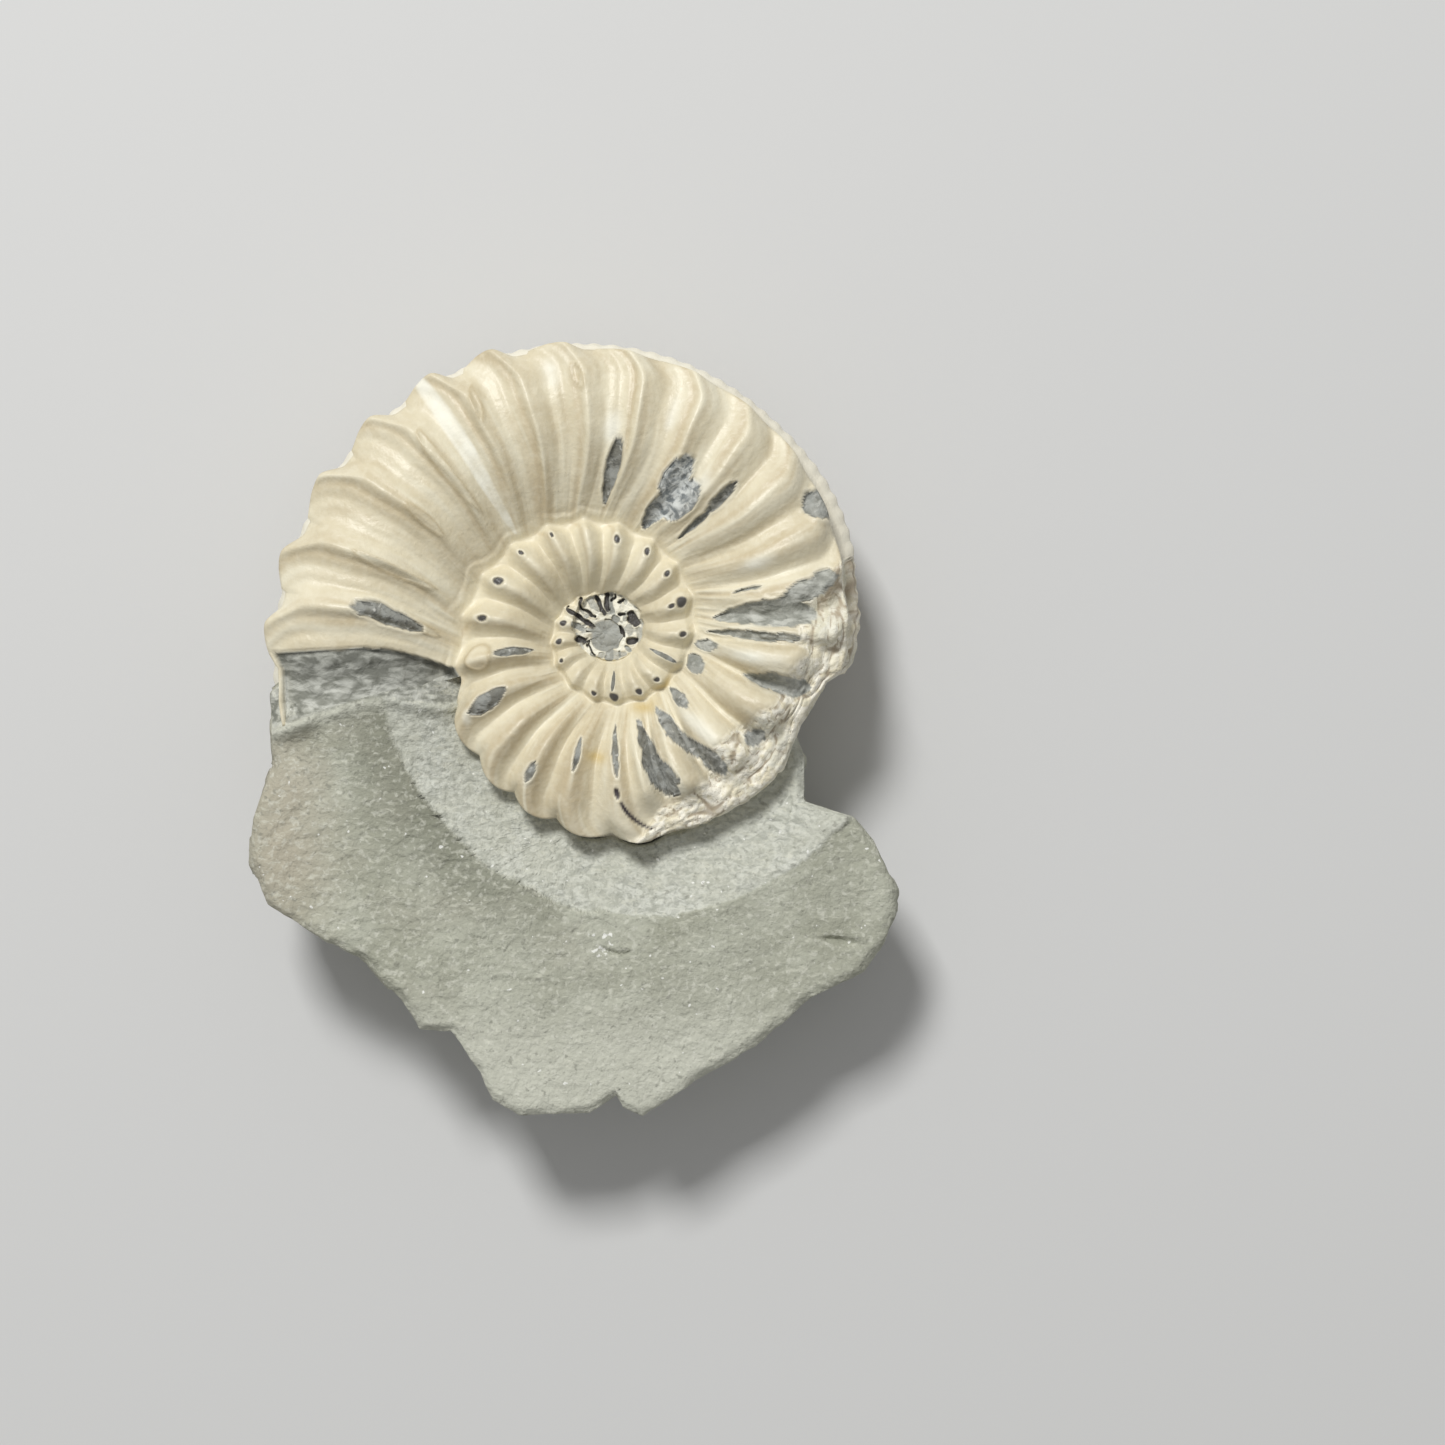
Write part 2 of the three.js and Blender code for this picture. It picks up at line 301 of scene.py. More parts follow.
# Windows where the shell is worn through to the grey filling, and slits in the inner whorls: start, end,
# half width in degrees, and the bow of those that aren't straight.
WINDOWS = [
    ((173.8, 0.40), (178.8, 0.80), 2.6, -1.0),
    ((85.3, 0.50), (90.4, 0.89), 2.6, -0.6),
    ((64.0, 0.46), (67.0, 0.74), 4.0),
    ((58.5, 0.55), (62.0, 0.86), 5.4),
    ((63.0, 0.66), (70.5, 0.95), 4.6, -1.0),
    ((48.6, 0.40), (49.8, 0.66), 1.7),
    ((49.5, 0.62), (52.6, 0.88), 1.3, -0.6),
    ((29.5, -0.12), (32.0, 0.14), 3.6),
    ((16.8, 0.54), (17.6, 0.74), 0.9),
    ((14.0, 0.02), (8.5, 0.50), 3.2, 1.6),
    ((5.5, 0.20), (9.0, 0.88), 4.4),
    ((-1.0, 0.30), (1.8, 0.92), 1.9, -0.8),
    ((-15.5, 0.08), (-16.5, 0.60), 3.2),
    ((-6.5, 0.83), (-5.5, 0.98), 3.4),
    ((-20.0, 0.86), (-16.0, 1.02), 5.5),
    ((-41.5, 0.79), (-39.5, 0.97), 3.6),
    ((-49.5, 0.22), (-53.0, 0.62), 3.4, 1.0),
    ((-52.5, 0.46), (-55.5, 0.92), 3.4, -0.5),
    ((-65.5, 0.24), (-70.5, 0.62), 5.6),
    ((-69.0, 0.45), (-69.5, 0.86), 3.0),
    ((-34.0, 0.24), (-35.0, 0.36), 3.6),
    ((-84.6, 0.43), (-83.3, 0.86), 1.5, -1.0),
    ((-102.3, 0.41), (-103.2, 0.70), 1.5),
    ((-117.8, 0.14), (-118.4, 0.32), 1.6),
    ((-150.2, 0.12), (-151.6, 0.52), 3.8, 0.6),
    ((-170.2, 0.41), (-168.5, 0.82), 2.8),
    ((-381.5, 0.17), (-377.5, 0.74), 2.2),
    ((-443.0, 0.33), (-437.0, 0.80), 2.4),
]

# Small holes at the feet of the inner spines: angle, place across the flank, and the radius in each.
SPINE_HOLES = [
    (-187.5, 0.24, 1.6, 0.055), (-206.5, 0.22, 2.2, 0.06), (-224.5, 0.18, 1.0, 0.04),
    (-242.0, 0.16, 1.0, 0.04), (-277.5, 0.25, 2.0, 0.06), (-297.0, 0.22, 1.9, 0.06),
    (-316.0, 0.24, 1.9, 0.06), (-337.0, 0.22, 4.2, 0.10), (-337.0, 0.40, 2.0, 0.06),
    (-359.5, 0.22, 2.4, 0.07), (-401.0, 0.24, 2.6, 0.06), (-419.5, 0.22, 3.0, 0.08),
    (-442.0, 0.20, 4.5, 0.10), (-461.0, 0.21, 3.0, 0.06), (-510.0, 0.24, 2.6, 0.06),
    (-532.0, 0.26, 4.2, 0.10), (-556.0, 0.26, 4.5, 0.11),
]

# Open slots and grey chambers in the worn middle: both ends, from the axis, and half the width.
DARK_SLOTS = [
    ((-2.20, 1.50), (-0.78, 0.58), 0.15), ((-1.52, 2.10), (-1.42, 1.60), 0.08),
    ((-1.42, 1.60), (-0.70, 1.12), 0.09), ((-0.60, 2.25), (-0.08, 1.28), 0.13),
    ((0.02, 2.45), (0.10, 1.50), 0.13), ((0.55, 2.30), (0.35, 2.05), 0.08),
    ((1.42, 1.28), (1.75, 0.78), 0.24), ((1.38, 0.95), (1.55, 0.85), 0.20),
    ((1.35, -0.34), (1.68, -0.30), 0.22), ((0.86, 1.95), (0.96, 2.02), 0.11),
    ((0.80, 1.22), (0.98, 1.24), 0.12), ((-1.10, 0.25), (-1.10, -0.60), 0.06),
    ((-1.10, -0.60), (-0.62, -1.14), 0.06), ((0.82, 0.55), (1.02, -0.10), 0.07),
    ((-1.66, -0.18), (-1.30, -0.36), 0.17),
]
GREY_SLOTS = [
    ((0.22, -1.02), (0.18, -1.32), 0.25), ((0.74, -0.98), (0.80, -1.20), 0.09),
    ((1.15, -0.72), (1.38, -0.92), 0.12), ((-1.90, 0.62), (-1.45, 0.46), 0.17),
    ((0.45, 1.02), (0.62, 0.92), 0.18), ((0.26, 2.30), (0.34, 1.35), 0.16),
]

# The crumbled outer edge, as pairs: how far over the flank it reaches at an angle, and how much is lost.
CRUMBLE_REACH = [
    (-84, 0), (-76, 0.12), (-70, 0.20), (-62, 0.23), (-55, 0.29), (-49, 0.40), (-44, 0.44), (-38, 0.48),
    (-33, 0.40), (-28, 0.41), (-23, 0.33), (-18, 0.38), (-12, 0.31), (-6, 0.25), (-2, 0.32), (4, 0.33),
    (10, 0.24), (17, 0),
]
EDGE_LOSS = [
    (-84, 0.0), (-60, 0.05), (-45, 0.15), (-37, 0.15), (-31, 0.75), (-25, 1.1), (-18, 1.0), (-12, 0.8),
    (-9, 0.15), (-4, 0.0), (10, 0.40), (45, 0.15), (75, 0.0),
]

# Chalky patches: angle, place across the flank, reach in each, and strength. Stains have no strength.
CHALK_PATCHES = [
    (87.5, 0.45, 3.4, 0.12, 1.0), (101.5, 0.16, 2.6, 0.12, 0.7), (72.5, 0.27, 2.4, 0.16, 0.7),
    (57.0, 0.56, 4.0, 0.14, 0.8), (24.5, 0.55, 3.2, 0.20, 0.8), (26.0, 0.28, 3.0, 0.12, 0.5),
    (-9.0, 0.62, 3.4, 0.40, 0.8), (-44.5, 0.62, 4.5, 0.36, 0.8), (-65.5, 0.28, 5.0, 0.06, 0.9),
    (96.0, 0.05, 6.0, 0.10, 0.3), (147.5, 0.08, 2.0, 0.10, 0.4), (3.2, 0.55, 1.6, 0.30, 0.8),
    (-149.0, 0.10, 4.0, 0.05, 0.8), (-118.0, 0.22, 2.6, 0.13, 0.7),
]
YELLOW_STAINS = [(-94.0, 0.57, 5.0, 0.05), (-62.0, 0.95, 10.0, 0.06), (-400.0, 0.06, 9.0, 0.07)]

# Raised outlines of worn ovals on the ribs, given in the same way as the windows.
SCARS = [
    ((161.6, 0.30), (165.0, 0.80), 1.2),
    ((146.8, 0.42), (148.8, 0.70), 1.4, -0.4),
    ((132.4, 0.16), (135.0, 0.76), 1.4, 0.4),
    ((118.3, 0.10), (119.5, 0.32), 0.9),
    ((176.0, 0.72), (180.5, 0.88), 1.4),
    ((96.5, 0.10), (95.0, 0.24), 1.2),
    ((-29.0, 0.94), (-33.0, 0.42), 0.1),
    ((-6.5, 0.72), (-6.3, 0.34), 0.05, 0.2),
]


def read_off(pairs, value, outside=None):
    """The amount at each value, read between a table's pairs."""
    values, amounts = np.transpose(pairs)
    return np.interp(value, values, amounts, left=outside, right=outside)


def edge_loss(angle):
    return read_off(EDGE_LOSS, angle)


def oval(angle, across, at, where, wide, tall):
    """A soft oval patch, 1 in its middle."""
    return hill(np.hypot((angle - at) / wide, (across - where) / tall), 0, 0.9)


def window_depth(angle, across):
    """How far inside the nearest worn window a point lies, in degrees."""
    inside = np.full(len(angle), -9.0)
    for window in WINDOWS:
        inside = np.maximum(inside, leaf(angle, across, *window))
    return inside


def hole_depth(angle, across):
    """How far inside the nearest small hole a point lies, as a share of the hole."""
    inside = np.full(len(angle), -9.0)
    for at, where, wide, tall in SPINE_HOLES:
        inside = np.maximum(inside, 1 - np.hypot((angle - at) / wide, (across - where) / tall))
    return inside


def raggedness(angle):
    """How ragged the outlines of the worn patches are along the coil."""
    lower = 0.5 + 0.5 * ramp(-np.abs(angle + 25), -70, -40)
    return lower + 0.4 * hill(angle, 64, 7) + 0.9 * hill(angle, -62, 12)


def coil_wear(angle, across, places):
    """The masks that say where the coil is worn, broken or stained, and where shadow is painted, each from
    0 to 1.
    """
    jitter = rough_noise(places, 1.1, 11)
    fine = rough_noise(places, 0.4, 12)
    ragged = raggedness(angle)
    torn_angle = angle + ragged * (1.0 * jitter + 0.8 * fine)
    torn_across = across + ragged * 0.018 * rough_noise(places, 0.7, 13)
    inside = window_depth(torn_angle, torn_across)
    hole = hole_depth(torn_angle, torn_across)
    reach = read_off(CRUMBLE_REACH, torn_angle, outside=-1)
    edge = SHELL_EDGE + 9.5 * np.maximum(0, (across - 0.45) / 0.55) ** 2 + 0.25 * fine
    # Paler towards the mouth and the outer edge; the darker filling next to the shell's broken edge and
    # towards the seam is painted shadow.
    mouth_pale_share = ramp(angle, 184, 197) * (1 - 0.7 * ramp(across, 0.35, 0.75))
    return {
        "window": ramp(inside, -0.1, 0.3),
        "rim": np.maximum(hill(inside, -0.5, 0.55), 0.9 * hill(hole, -0.45, 0.35)),
        "blue": hill(angle, 63, 9) + 0.22 * ramp(angle, -76, -60) * ramp(-angle, -58, -50),
        # Painted shade: the holes are coloured near black for the shade inside them.
        "hole": ramp(hole, -0.1, 0.3),
        "crumble": ramp(reach - torn_across + 0.04 * jitter, -0.02, 0.03),
        "filling": ramp(angle, edge - 0.15, edge + 0.25) * ramp(across, 0.012, 0.035),
        "flake": shell_scales(np.radians(angle) * 13, across * whorl_height(angle), places),
        "streak": streak_relief(angle, across) * (1 - 0.6 * ramp(-angle, 120, 200)),
        "scar": scar_lines(angle, across),
        "seam": seam_line(angle, across, places, 0.925, 0.011),
        "pale_share": mouth_pale_share + 0.8 * hill(angle, 2, 26),
    }


def chalk_bands(angle, across, places):
    """One long chalky band along a rib, and the chalky patches."""
    chalk = 0.95 * ramp(leaf(angle, across, (126.5, -0.05), (131.5, 0.96), 2.3, -2.0, 0.3), -0.5, 0.9)
    for at, where, wide, tall, much in CHALK_PATCHES:
        chalk = np.maximum(chalk, much * oval(angle, across, at, where, wide, tall))
    return chalk * np.clip(0.8 + 0.5 * rough_noise(places, 1.2, 21), 0, 1.2)


def warm_bands(angle, across, places):
    """Tan bands along the ribs, paler on the inner whorls."""
    phase = rib_phase(angle, across)
    warm = 0.75 * wave(phase, 0.16, 0.45) + 0.4 * wave(phase, 0.9, 0.35) - 0.5 * wave(phase, 0.56, 0.5)
    lower_left = 0.35 * ramp(angle, -60, -110) * ramp(angle, -178, -160)
    warm += -0.3 * ramp(-angle, 176, 200) + 0.5 * hill(angle, 115.5, 4) + lower_left
    return warm * ramp(across, 1.02, 0.9) + 0.45 * rough_noise(places, 3.0, 22)


def edge_crack(angle, across):
    """A short drop and a curved slit near the lower edge, sunk a little and painted near black as the shade
    in them.
    """
    drop = leaf(angle, across, (-85.2, 0.27), (-85.6, 0.36), 1.0, 0.0)
    slit = leaf(angle, across, (-75.5, 0.05), (-84.2, 0.255), 0.85, -2.0, 0.5)
    return ramp(np.maximum(drop, slit), -0.35, 0.35)


def colour_marks(angle, across, places):
    """Bands and stains in the shell's colour: chalk is whiter, warm is tanner, yellow is stained, and crack
    is painted near black as shade.
    """
    yellow = np.zeros(len(angle))
    for stain in YELLOW_STAINS:
        yellow = np.maximum(yellow, oval(angle, across, *stain))
    return {
        "chalk": chalk_bands(angle, across, places),
        "warm": warm_bands(angle, across, places),
        "yellow": yellow,
        "crack": edge_crack(angle, across),
    }


def scar_lines(angle, across):
    """Thin raised outlines of worn ovals along the crests of ribs, and of one round knob."""
    line = np.zeros(len(angle))
    for scar in SCARS:
        line = np.maximum(line, hill(leaf(angle, across, *scar), 0, 0.3))
    knob = np.hypot((angle + 169.5) / 5.6, (across - 0.24) / 0.13)
    return np.maximum(line, hill(knob, 1, 0.16))


def shell_scales(along, outward, places):
    """Overlapping scales of broken shell, drawn out along the coil, from -1 in the cracks to 1."""
    outward = outward + 0.35 * lattice_noise(places, 1.3, 31)
    laid = np.column_stack([0.26 * along, outward, 0 * along])
    large, small = (np.abs(lattice_noise(laid, size, 32)) for size in (0.42, 0.24))
    return np.clip(4.4 * np.minimum(large, 0.9 * small + 0.04) - 0.9, -1, 1)


def seam_line(angle, across, places, at, width):
    """A wavering line that follows the seam of the last turn, from 0 to 1."""
    wander = 0.022 * lattice_noise(places, 1.6, 47) + 0.008 * lattice_noise(places, 0.4, 48)
    strength = np.clip(0.6 + 0.9 * lattice_noise(places, 2.4, 49), 0.1, 1)
    return hill(across + wander, at, width) * strength * ramp(angle, 55, 105)


def streak_relief(angle, across):
    """Fine ridges that run along the ribs, from -1 to 1."""
    laid = np.column_stack([rib_count(angle - crest_bend(across)) * 7, across * 2.2, 0 * angle])
    return rough_noise(laid, 1.0, 38, 3)


def worn_offset(angle, across, marks, places):
    """How far wear moves the near flank up or down, in millimetres."""
    tall = whorl_height(angle)
    shell = 0.026 * tall
    deep = np.clip(read_off(CRUMBLE_REACH, angle) - across, 0, 1)
    levelled = 0.5 * ramp(-across, -0.3, 0.0)
    crumbled = marks["crumble"] * (levelled - 0.22 - 0.75 * deep + 0.095 * marks["flake"])
    stone = marks["window"] * (-shell + 0.07 * rough_noise(places, 0.4, 35)) * (1 - marks["crumble"])
    holes = -0.9 * shell * marks["hole"] - 0.9 * shell * marks["crack"]
    past = np.clip((angle - SHELL_EDGE) / (MOUTH - SHELL_EDGE), 0, 1)
    bare = marks["filling"] * (-0.42 - 0.5 * past + 0.14 * rough_noise(places, 1.3, 36))
    lifted = 0.30 * shell * marks["rim"] * (1 - marks["crumble"]) + 0.12 * marks["scar"]
    sound = (1 - marks["crumble"]) * (1 - marks["filling"]) * (1 - marks["window"])
    uneven = 0.035 * rough_noise(places, 2.2, 37) * np.clip(tall / 8, 0, 1)
    uneven = uneven + 0.008 * tall * marks["streak"] * sound
    ledge = (0.09 * seam_line(angle, across, places, 0.955, 0.018) - 0.09 * marks["seam"]) * sound
    return crumbled + stone + holes + bare + lifted + uneven + ledge


# ---- building the coil

def section_rows():
    """The angles of the sections, from the innermost to the mouth."""
    count = int(round(TURNS_KEPT * ROWS_PER_TURN)) + 1
    return MOUTH - (count - 1 - np.arange(count)) * TURN / ROWS_PER_TURN


def flank_steps(columns):
    """Steps across a flank, closer at the shoulder and at the seam."""
    even = np.linspace(0, 1, columns + 1)
    return even - 0.0495 * np.sin(2 * np.pi * even)


COIL_MARKS = [
    "window", "blue", "rim", "hole", "crumble", "filling", "flake", "streak", "scar", "seam", "pale_share",
    "chalk", "warm", "yellow", "crack", "venter", "heart",
]


class Skin:
    """Points with their marks, and faces, gathered for one mesh."""

    def __init__(self, kinds):
        self.points, self.values, self.faces, self.count = [], {key: [] for key in kinds}, [], 0

    def add(self, points, marks):
        for key, parts in self.values.items():
            parts.append(np.broadcast_to(marks.get(key, 0.0), len(points)))
        self.points.append(points)
        self.count += len(points)
        return np.arange(self.count - len(points), self.count)

    def object(self, name):
        values = {key: np.concatenate(parts) for key, parts in self.values.items()}
        return mesh_object(name, np.concatenate(self.points), np.concatenate(self.faces), values)


def around(angle, radius, height):
    turned = np.radians(angle)
    return np.column_stack([radius * np.cos(turned), radius * np.sin(turned), height])


def slot_depth(x, y, slots):
    """How far inside the nearest of some slots each point lies, in millimetres."""
    depth = np.full(len(x), -9.0)
    for (x0, y0), (x1, y1), half in slots:
        reach_x, reach_y = x1 - x0, y1 - y0
        share = np.clip(((x - x0) * reach_x + (y - y0) * reach_y) / (reach_x ** 2 + reach_y ** 2), 0, 1)
        depth = np.maximum(depth, half - np.hypot(x - x0 - share * reach_x, y - y0 - share * reach_y))
    return depth


def break_heart(points, marks, side=1):
    """The worn middle of the coil: a rough grey disc, then broken chambers between white walls."""
    x = points[:, 0] + 0.10 * lattice_noise(points, 0.35, 40)
    y = points[:, 1] + 0.10 * lattice_noise(points, 0.35, 45)
    radius, turned = np.hypot(x, y), np.arctan2(y, x)
    disc = ramp(-radius, -0.99, -0.90)
    reach = 2.02 + 0.55 * np.sin(turned) + 0.12 * np.cos(turned)
    ring = ramp(reach - radius, 0.0, 0.12) * (1 - disc)
    dark = ramp(slot_depth(x, y, DARK_SLOTS), -0.03, 0.05)
    grey = np.maximum(disc * (1 - dark), ramp(slot_depth(x, y, GREY_SLOTS), -0.03, 0.05))
    grey = np.maximum(grey, 0.6 * ring * (1 - dark) * ramp(lattice_noise(points, 0.28, 50), 0.0, 0.4))
    level = 0.60 + 0.08 * rough_noise(points, 0.3, 44) + 0.12 * ring
    inside = np.maximum(disc, 0.85 * ring)
    sunk = 0.30 * dark + 0.14 * grey * (1 - disc)
    points[:, 2] = points[:, 2] * (1 - inside) + side * (level * inside - sunk)
    white = np.maximum(ring, 0.9 * hill(np.hypot(x + 1.8, y - 1.0), 0, 1.1))
    marks["heart"] = grey
    # The dark slots take the hole mark, painted near black as the shade in the open chambers.
    marks["hole"] = np.maximum(marks.get("hole", 0.0) * (1 - ring), dark)
    white = white * (0.62 + 0.3 * lattice_noise(points, 0.25, 46))
    marks["chalk"] = np.maximum(marks.get("chalk", 0.0), white)
    return points, marks


def flank_grid(angles, columns):
    """Every angle and step over a flank, with the radius and height there."""
    steps = flank_steps(columns)
    angle, across = (g.ravel() for g in np.meshgrid(angles, steps, indexing="ij"))
    return angle, across, *flank_points(angle, across)


def flank_rows(numbers, angles):
    """Point numbers in rows. A seam point is the shoulder point one turn further in."""
    rows = numbers.reshape(len(angles), -1)
    rows[ROWS_PER_TURN:, -1] = rows[:-ROWS_PER_TURN, 0]
    return rows


def near_flank(skin, angles):
    """Rows of point numbers over the near side, with its wear."""
    angle, across, radius, height = flank_grid(angles, FLANK_COLUMNS)
    places = around(angle, radius, height)
    marks = {**coil_wear(angle, across, places), **colour_marks(angle, across, places)}
    free = free_edge(angle)
    held = (free + (1 - free) * ramp(across, 0, 0.06)) * ramp(-across, -1.0, -0.95)
    height = height + held * worn_offset(angle, across, marks, places)
    points, marks = break_heart(around(angle, radius, height), marks)
    return flank_rows(skin.add(points, marks), angles)


def far_flank(skin, angles):
    """The far side, which lies in the rock or hangs free behind it: ribbed, but not worn."""
    angle, across, radius, height = flank_grid(angles, FAR_COLUMNS)
    places = around(angle, radius, -height)
    marks = colour_marks(angle, across, places)
    marks["crack"] = marks["yellow"] = 0.0
    return flank_rows(skin.add(places, marks), angles)


def keel_rise(angle, side, places):
    """How far the scalloped keel stands out of the outer edge, in millimetres."""
    scallop = 0.05 * np.sin(np.radians(angle) * 95 + 1.5 * lattice_noise(places, 2.0, 53))
    worn = 0.8 * ramp(edge_loss(angle), 0, 0.3) * ramp(-angle, 0, 5)
    bared = 0.40 * ramp(angle, -4, 8) * ramp(-angle, -55, -25)
    return (KEEL_RISE + bared + scallop) * ramp(-side, -0.45, -0.2) * free_edge(angle) * (1 - worn)


def venter_marks(angle, height, level, places):
    """The outer edge's masks: flakes follow its height, and the keel is whiter than the sides."""
    side = np.abs(level)
    marks = coil_wear(angle, -0.02 - 0.1 * (1 - side), places)
    marks["flake"] = shell_scales(np.radians(angle) * 13, height, places)
    marks["filling"] = marks["window"] = marks["hole"] = 0.0
    marks["venter"] = 1 - 0.75 * ramp(side, 0.3, 0.6)
    marks["warm"] = 0.5 + 0.6 * rough_noise(places, 1.5, 52)
    return marks


def venter(skin, angles, near, far):
    """The outer edge of the last turn: a finely scalloped keel between two grooves."""
    first = len(angles) - ROWS_PER_TURN - 1
    steps = np.linspace(1, -1, VENTER_COLUMNS + 1)[1:-1]
    angle, level = (g.ravel() for g in np.meshgrid(angles[first:], steps, indexing="ij"))
    side, shoulder = np.abs(level), np.zeros(len(angle))
    radius, height = flank_points(angle, shoulder)
    bare = radius - whorl_height(angle) * spine_push(angle, shoulder)
    radius = bare + (radius - bare) * ramp(side, 0.4, 1.0)
    radius = radius + 0.12 * (1 - side ** 4) + keel_rise(angle, side, around(angle, radius, height))
    plain = half_width(angle) * flank_rise(shoulder)
    height = level * (plain + (height - plain) * ramp(side, 0.3, 1.0))
    marks = venter_marks(angle, height, level, around(angle, radius, height))
    broken = marks["crumble"] * ramp(level, -0.6, 0.2) * (1 - ramp(level, 0.75, 1.0))
    radius = radius - broken * (0.10 - 0.16 * marks["flake"])
    inner = skin.add(around(angle, radius, height), marks).reshape(-1, len(steps))
    return np.column_stack([near[first:, 0], inner, far[first:, 0]])


def close_centre(skin, flank, angles, side):
    """Rings of points from the innermost edge of a flank down to the middle of the coil."""
    loop = np.concatenate([flank[:ROWS_PER_TURN, -1], flank[0, :-1]])
    edge = np.concatenate(skin.points)[loop]
    turned = np.radians(angles[0] - 90)
    hub = np.array([HUB_RADIUS * np.cos(turned), HUB_RADIUS * np.sin(turned), side * HUB_HEIGHT])
    rings = [loop]
    for share in (0.8, 0.6, 0.4, 0.2):
        points, marks = break_heart(hub + (edge - hub) * share, {}, side)
        rings.append(skin.add(points, marks))
    last = skin.add(hub[None], {"heart": 1.0})[0]
    grid = np.column_stack(rings)
    skin.faces.append(patch_faces(np.vstack([grid, grid[:1]]), flip=side < 0))
    skin.faces.append(fan_faces(last, rings[-1], flip=side < 0))


def close_mouth(skin, edge, near, far):
    """The broken end of the last turn, which stands against the rock."""
    loop = np.concatenate([near[-1, :-1], edge[0], far[-1, :-1][::-1], edge[-1][1:-1][::-1]])
    middle = np.concatenate(skin.points)[loop].mean(axis=0)
    hub = skin.add(middle[None], {"filling": 1.0})[0]
    skin.faces.append(fan_faces(hub, loop, flip=True))


def coil():
    angles = section_rows()
    skin = Skin(COIL_MARKS)
    near = near_flank(skin, angles)
    far = far_flank(skin, angles)
    edge = venter(skin, angles, near, far)
    skin.faces.append(patch_faces(near))
    skin.faces.append(patch_faces(far, flip=True))
    skin.faces.append(patch_faces(edge, flip=True))
    close_centre(skin, near, angles, 1)
    close_centre(skin, far, angles, -1)
    close_mouth(skin, edge, near, far)
    return skin.object("ammonite_fossil")


# ---- the host rock

ROCK_MARKS = ["bed", "filled", "gap", "dark", "brown", "pale", "glint"]


def outline_radius(direction):
    """The outline's distance from the rock's middle in each direction."""
    corners = np.array(ROCK_OUTLINE) - ROCK_MIDDLE
    ends = np.roll(corners, -1, axis=0)
    found = np.zeros(len(direction))
    ray = np.column_stack([np.cos(direction), np.sin(direction)])
    for a, b in zip(corners, ends):
        side = b - a
        cross = ray[:, 0] * side[1] - ray[:, 1] * side[0]
        far_along = (a[0] * side[1] - a[1] * side[0]) / cross
        share = (a[0] * ray[:, 1] - a[1] * ray[:, 0]) / cross
        hit = (far_along > 0) & (share >= -1e-6) & (share <= 1 + 1e-6)
        found = np.where(hit, np.maximum(found, far_along), found)
    return found


def coil_place(points, axis):
    """How far inside the coil's outline points lie, how far they are past its mouth, and their radius."""
    away = points[:, :2] - axis[:2]
    turned = np.degrees(np.arctan2(away[:, 1], away[:, 0]))
    radius = np.hypot(away[:, 0], away[:, 1])
    past = (turned - MOUTH) % TURN
    past = np.where(past > 180, past - TURN, past)
    turned = np.where(turned > MOUTH - TURN, turned, turned + TURN)
    outline = shoulder_radius(turned) + whorl_height(turned) * spine_push(turned, 0 * turned)
    return outline - radius, radius * np.radians(past), radius


def mouth_level(radius, axis):
    """The height of the filling along the broken end of the last turn."""
    across = np.linspace(0, 1, 30)
    ends = np.full(30, MOUTH)
    out, up = flank_points(ends, across)
    return axis[2] + np.interp(radius, out[::-1], up[::-1]) - 0.85


def rock_pits(x, y):
    """A lens-shaped pit and a short crack in the natural face."""
    right, up = x - PIT_CENTRE[0], y - PIT_CENTRE[1]
    turn_x, turn_y = right + 0.12 * up, up + 0.16 * right
    lens = 0.34 * ramp(-np.hypot(turn_x / 1.4, turn_y / 0.32), -1, -0.5)
    crack = 0.35 * hill(y + 12.95 + 0.12 * np.sin(3 * x), 0, 0.10) * ramp(-np.abs(x - 2.4), -1.1, -0.6)
    return lens + crack


def natural_face(points):
    """The height of the rock's natural face: a gentle fall to the right and a broken grain."""
    x, y = points[:, 0], points[:, 1]
    level = FACE_HEIGHT - FACE_FALL * x + 0.26 * rough_noise(points, 6.0, 61)
    flat = 1 - 0.5 * ramp(x - 0.8 * y, 6, 18)
    level += 0.045 * flat * chips(x + 0.6 * lattice_noise(points, 1.5, 62), 1.6 * y, 1.1, 63)
    level += 0.05 * flat * rough_noise(points, 0.7, 64) - rock_pits(x, y)
    return level


def outside_bed(points):
    """How far points lie outside the round bed, in millimetres."""
    return np.hypot(points[:, 0] - BED_CENTRE[0], points[:, 1] - BED_CENTRE[1]) - BED_RADIUS


def bed_face(points):
    """The height of the chipped bed, and 1 where the bed is."""
    x, y = points[:, 0], points[:, 1]
    from_bed = outside_bed(points) + 0.20 * rough_noise(points, 1.8, 65) + 0.08 * chips(x, y, 0.5, 66)
    level = BED_HEIGHT + BED_RIM_RISE * ramp(from_bed, -3.8, 0.2) + 0.07 * rough_noise(points, 1.6, 69)
    level = level + 0.045 * chips(x + 0.4 * lattice_noise(points, 0.8, 67), y, 0.42, 68)
    return level, ramp(-from_bed, -0.05, 0.07)


def near_mouth_share(beyond, past, radius, on_bed):
    """1 where the rock meets the broken end of the last turn, fading away from it."""
    share = np.exp(-np.maximum(beyond, 0) / (2.4 + 0.8 * on_bed)) * ramp(-radius, -23.5, -21.5)
    return share * ramp(radius, 7.5, 9.0) * ramp(-past, -14, -9)


